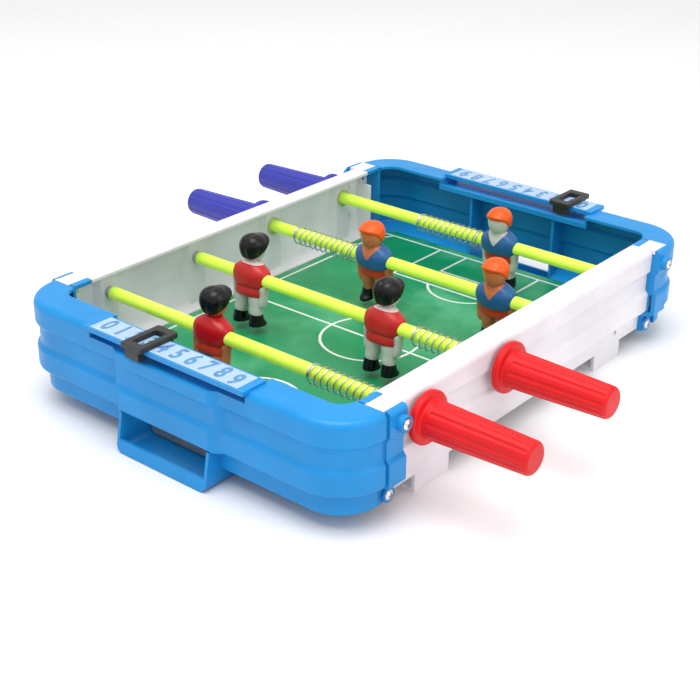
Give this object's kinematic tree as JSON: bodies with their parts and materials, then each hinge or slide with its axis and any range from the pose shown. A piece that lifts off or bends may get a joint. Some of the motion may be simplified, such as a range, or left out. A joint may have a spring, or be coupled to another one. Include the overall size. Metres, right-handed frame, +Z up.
{
  "type": "mini foosball table",
  "caption": "Small tabletop foosball toy: blue end shells and white side panels round a green pitch, with sliding, turning rods, players, handles and score sliders.",
  "frame": {"origin": "middle of the table on the plane that its feet stand on", "axes": "+X along the pitch to the far goal, +Y along the rods to the blue handles, +Z up"},
  "size_m": [0.346, 0.364, 0.0747],
  "materials": {
    "blue_shell": "moulded polystyrene, satin gloss",
    "white_plastic": "moulded polystyrene, satin gloss",
    "green_board": "thin fibreboard",
    "pitch_print": "printed and varnished sheet",
    "label_sheet": "printed vinyl label",
    "screw_steel": "zinc-plated steel",
    "black_plastic": "moulded, satin",
    "grey_plastic": "moulded, satin",
    "bush_plastic": "moulded, slick",
    "neon_rod": "fluorescent yellow-green, gloss",
    "red_handle": "soft gloss",
    "blue_handle": "soft gloss",
    "spring_steel": "bright spring wire",
    "figure_red_keeper": "painted toy plastic, red shirt",
    "figure_red_striker": "painted toy plastic, red shirt",
    "figure_blue_striker": "painted toy plastic, blue shirt",
    "figure_blue_keeper": "painted toy plastic, blue shirt"
  },
  "bodies": {
    "table": {"near_end_shell": "blue_shell", "far_end_shell": "blue_shell", "left_side_panel": "white_plastic", "right_side_panel": "white_plastic", "corner_bracket_near_left": "blue_shell", "corner_bracket_near_right": "blue_shell", "corner_bracket_far_left": "blue_shell", "corner_bracket_far_right": "blue_shell", "near_ball_tray": "blue_shell", "far_ball_tray": "blue_shell", "pitch_board": "green_board", "pitch_sheet": "pitch_print", "near_score_label": "label_sheet", "far_score_label": "label_sheet", "corner_screws": "screw_steel", "pitch_screws": "screw_steel", "red_keeper_guide_pin": "grey_plastic", "red_keeper_spring": "spring_steel", "red_striker_guide_pin": "grey_plastic", "red_striker_spring": "spring_steel", "blue_striker_guide_pin": "grey_plastic", "blue_keeper_guide_pin": "grey_plastic"},
    "near_score_slider": {"near_score_slider": "black_plastic"},
    "far_score_slider": {"far_score_slider": "black_plastic"},
    "red_keeper_bush": {"red_keeper_bush": "bush_plastic"},
    "red_keeper_rod": {"red_keeper_rod": "neon_rod", "red_keeper_handle": "red_handle", "red_keeper_figure": "figure_red_keeper"},
    "red_striker_bush": {"red_striker_bush": "bush_plastic"},
    "red_striker_rod": {"red_striker_rod": "neon_rod", "red_striker_handle": "red_handle", "red_striker_left_figure": "figure_red_striker", "red_striker_right_figure": "figure_red_striker"},
    "blue_striker_bush": {"blue_striker_bush": "bush_plastic"},
    "blue_striker_rod": {"blue_striker_rod": "neon_rod", "blue_striker_handle": "blue_handle", "blue_striker_left_figure": "figure_blue_striker", "blue_striker_right_figure": "figure_blue_striker", "blue_striker_spring": "spring_steel"},
    "blue_keeper_bush": {"blue_keeper_bush": "bush_plastic"},
    "blue_keeper_rod": {"blue_keeper_rod": "neon_rod", "blue_keeper_handle": "blue_handle", "blue_keeper_figure": "figure_blue_keeper", "blue_keeper_spring": "spring_steel"}
  },
  "joints": [
    {"name": "red_keeper_turn", "type": "hinge", "parent": "table", "child": "red_keeper_bush", "pos_m": [-0.105, 0, 0.048], "axis": [0, 1, 0], "continuous": true},
    {"name": "red_keeper_slide", "type": "slide", "parent": "red_keeper_bush", "child": "red_keeper_rod", "axis": [0, -1, 0], "range_m": [0, 0.104], "deforming": ["red_keeper_spring"]},
    {"name": "red_striker_turn", "type": "hinge", "parent": "table", "child": "red_striker_bush", "pos_m": [-0.035, 0, 0.048], "axis": [0, 1, 0], "continuous": true},
    {"name": "red_striker_slide", "type": "slide", "parent": "red_striker_bush", "child": "red_striker_rod", "axis": [0, -1, 0], "range_m": [0, 0.042], "deforming": ["red_striker_spring"]},
    {"name": "blue_striker_turn", "type": "hinge", "parent": "table", "child": "blue_striker_bush", "pos_m": [0.035, 0, 0.048], "axis": [0, 1, 0], "continuous": true},
    {"name": "blue_striker_slide", "type": "slide", "parent": "blue_striker_bush", "child": "blue_striker_rod", "axis": [0, 1, 0], "range_m": [0, 0.056], "deforming": ["blue_striker_spring"]},
    {"name": "blue_keeper_turn", "type": "hinge", "parent": "table", "child": "blue_keeper_bush", "pos_m": [0.105, 0, 0.048], "axis": [0, 1, 0], "continuous": true},
    {"name": "blue_keeper_slide", "type": "slide", "parent": "blue_keeper_bush", "child": "blue_keeper_rod", "axis": [0, 1, 0], "range_m": [0, 0.101], "deforming": ["blue_keeper_spring"]},
    {"name": "near_score_slide", "type": "slide", "parent": "table", "child": "near_score_slider", "axis": [0, 1, 0], "range_m": [-0.0618, 0.0309]},
    {"name": "far_score_slide", "type": "slide", "parent": "table", "child": "far_score_slider", "axis": [0, 1, 0], "range_m": [-0.0103, 0.0824]}
  ]
}
